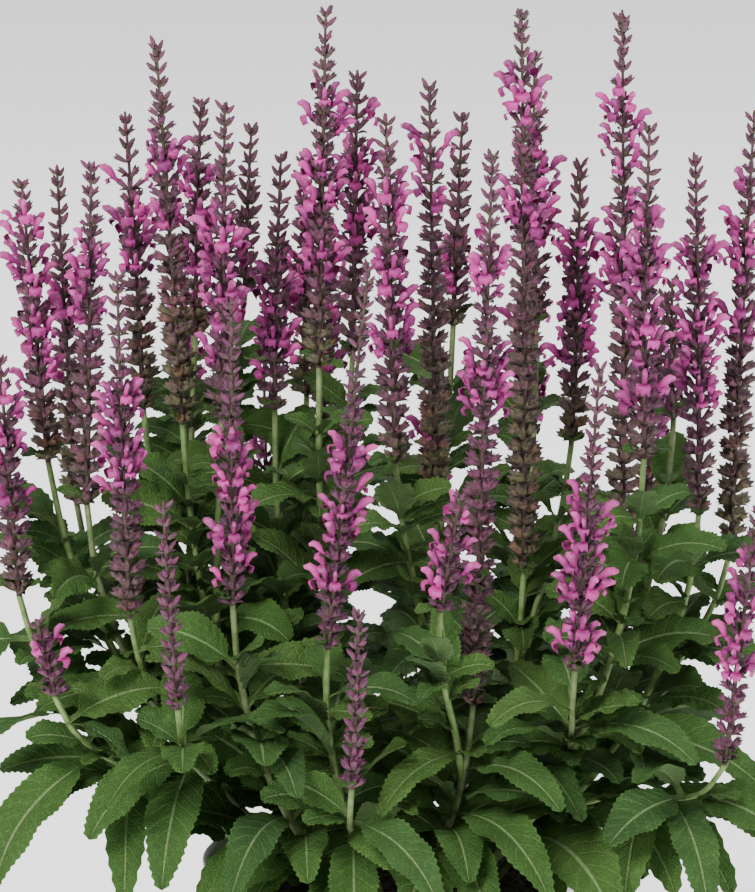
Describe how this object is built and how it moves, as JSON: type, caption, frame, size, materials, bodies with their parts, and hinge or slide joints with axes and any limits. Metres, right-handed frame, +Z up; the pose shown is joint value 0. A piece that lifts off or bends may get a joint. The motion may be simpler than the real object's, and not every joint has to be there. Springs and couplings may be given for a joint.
{
  "type": "potted perennial salvia",
  "caption": "Perennial salvia with upright purple flower spikes over a low mound of toothed green leaves, growing in a plain round nursery pot.",
  "frame": {"origin": "centre of the pot's foot, on the surface that the pot stands on", "axes": "+Z up along the pot's axis; -Y is the side that faces the viewer; +X to the viewer's right"},
  "size_m": [0.3678, 0.2929, 0.5138],
  "materials": {
    "floret_purple": "matte",
    "leaf_green": "satin",
    "pot_plastic": "satin",
    "potting_soil": "matte"
  },
  "bodies": {
    "root": {"flower_spike_01": "floret_purple", "flower_spike_02": "floret_purple", "flower_spike_03": "floret_purple", "flower_spike_04": "floret_purple", "flower_spike_05": "floret_purple", "flower_spike_06": "floret_purple", "flower_spike_07": "floret_purple", "flower_spike_08": "floret_purple", "flower_spike_09": "floret_purple", "flower_spike_10": "floret_purple", "flower_spike_11": "floret_purple", "flower_spike_12": "floret_purple", "flower_spike_13": "floret_purple", "flower_spike_14": "floret_purple", "flower_spike_15": "floret_purple", "flower_spike_16": "floret_purple", "flower_spike_17": "floret_purple", "flower_spike_18": "floret_purple", "flower_spike_19": "floret_purple", "flower_spike_20": "floret_purple", "flower_spike_21": "floret_purple", "flower_spike_22": "floret_purple", "flower_spike_23": "floret_purple", "flower_spike_24": "floret_purple", "flower_spike_25": "floret_purple", "flower_spike_26": "floret_purple", "flower_spike_27": "floret_purple", "flower_spike_28": "floret_purple", "flower_spike_29": "floret_purple", "flower_spike_30": "floret_purple", "flower_spike_31": "floret_purple", "flower_spike_32": "floret_purple", "flower_spike_33": "floret_purple", "flower_spike_34": "floret_purple", "flower_spike_35": "floret_purple", "flower_spike_36": "floret_purple", "flower_spike_37": "floret_purple", "flower_spike_38": "floret_purple", "flower_spike_39": "floret_purple", "flower_spike_40": "floret_purple", "leafy_stem_01": "leaf_green", "leafy_stem_02": "leaf_green", "leafy_stem_03": "leaf_green", "leafy_stem_04": "leaf_green", "leafy_stem_05": "leaf_green", "leafy_stem_06": "leaf_green", "leafy_stem_07": "leaf_green", "leafy_stem_08": "leaf_green", "leafy_stem_09": "leaf_green", "leafy_stem_10": "leaf_green", "leafy_stem_11": "leaf_green", "leafy_stem_12": "leaf_green", "leafy_stem_13": "leaf_green", "leafy_stem_14": "leaf_green", "leafy_stem_15": "leaf_green", "leafy_stem_16": "leaf_green", "leafy_stem_17": "leaf_green", "pot": "pot_plastic", "soil": "potting_soil"}
  },
  "joints": []
}
